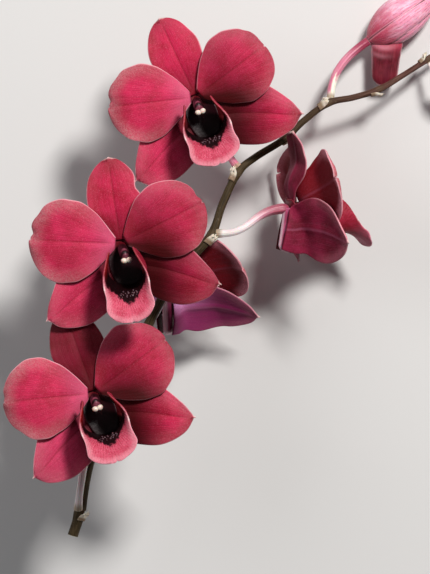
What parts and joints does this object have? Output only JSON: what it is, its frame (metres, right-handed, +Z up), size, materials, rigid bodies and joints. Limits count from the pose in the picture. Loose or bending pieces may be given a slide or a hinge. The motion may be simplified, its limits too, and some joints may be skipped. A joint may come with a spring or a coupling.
{
  "type": "dendrobium orchid",
  "caption": "Cut flowering spray of a dendrobium orchid: a curved stem with open crimson blooms, a large bud and small tip buds, lying on a surface.",
  "frame": {"origin": "middle of the spray's footprint, on the surface it lies on", "axes": "+Z up from the surface, the way the open blooms face; +Y along the table towards the bud end of the stem; +X to the right"},
  "size_m": [0.1932, 0.2158, 0.0953],
  "materials": {
    "rachis": "olive-brown living stem, satin",
    "bract": "dry papery scale, matt",
    "pedicel": "pale pink living stalk, satin",
    "tepal": "crimson-rose petal, velvety",
    "lip": "rose-pink petal with a maroon throat, velvety",
    "column": "dark maroon, waxy, with a cream cap",
    "bud": "rose-pink bud, satin"
  },
  "bodies": {
    "root": {"rachis": "rachis", "bract_1": "bract", "bract_2": "bract", "bract_3": "bract", "bract_4": "bract", "bract_5": "bract", "bract_6": "bract", "bract_7": "bract", "bract_8": "bract", "bract_9": "bract", "bloom_1_pedicel": "pedicel", "bloom_1_dorsal_sepal": "tepal", "bloom_1_petal_left": "tepal", "bloom_1_petal_right": "tepal", "bloom_1_lateral_sepal_left": "tepal", "bloom_1_lateral_sepal_right": "tepal", "bloom_1_lip": "lip", "bloom_1_column": "column", "bloom_2_pedicel": "pedicel", "bloom_2_dorsal_sepal": "tepal", "bloom_2_petal_left": "tepal", "bloom_2_petal_right": "tepal", "bloom_2_lateral_sepal_left": "tepal", "bloom_2_lateral_sepal_right": "tepal", "bloom_2_lip": "lip", "bloom_2_column": "column", "bloom_3_pedicel": "pedicel", "bloom_3_dorsal_sepal": "tepal", "bloom_3_petal_left": "tepal", "bloom_3_petal_right": "tepal", "bloom_3_lateral_sepal_left": "tepal", "bloom_3_lateral_sepal_right": "tepal", "bloom_3_lip": "lip", "bloom_3_column": "column", "bloom_4_pedicel": "pedicel", "bloom_4_dorsal_sepal": "tepal", "bloom_4_petal_left": "tepal", "bloom_4_petal_right": "tepal", "bloom_4_lateral_sepal_left": "tepal", "bloom_4_lateral_sepal_right": "tepal", "bloom_4_lip": "lip", "bloom_4_column": "column", "bloom_5_pedicel": "pedicel", "bloom_5_dorsal_sepal": "tepal", "bloom_5_petal_left": "tepal", "bloom_5_petal_right": "tepal", "bloom_5_lateral_sepal_left": "tepal", "bloom_5_lateral_sepal_right": "tepal", "bloom_5_lip": "lip", "bloom_5_column": "column", "large_bud": "bud", "large_bud_pedicel": "pedicel", "tip_bud_1": "bud", "tip_bud_2": "bud", "tip_bud_3": "bud"}
  },
  "joints": []
}
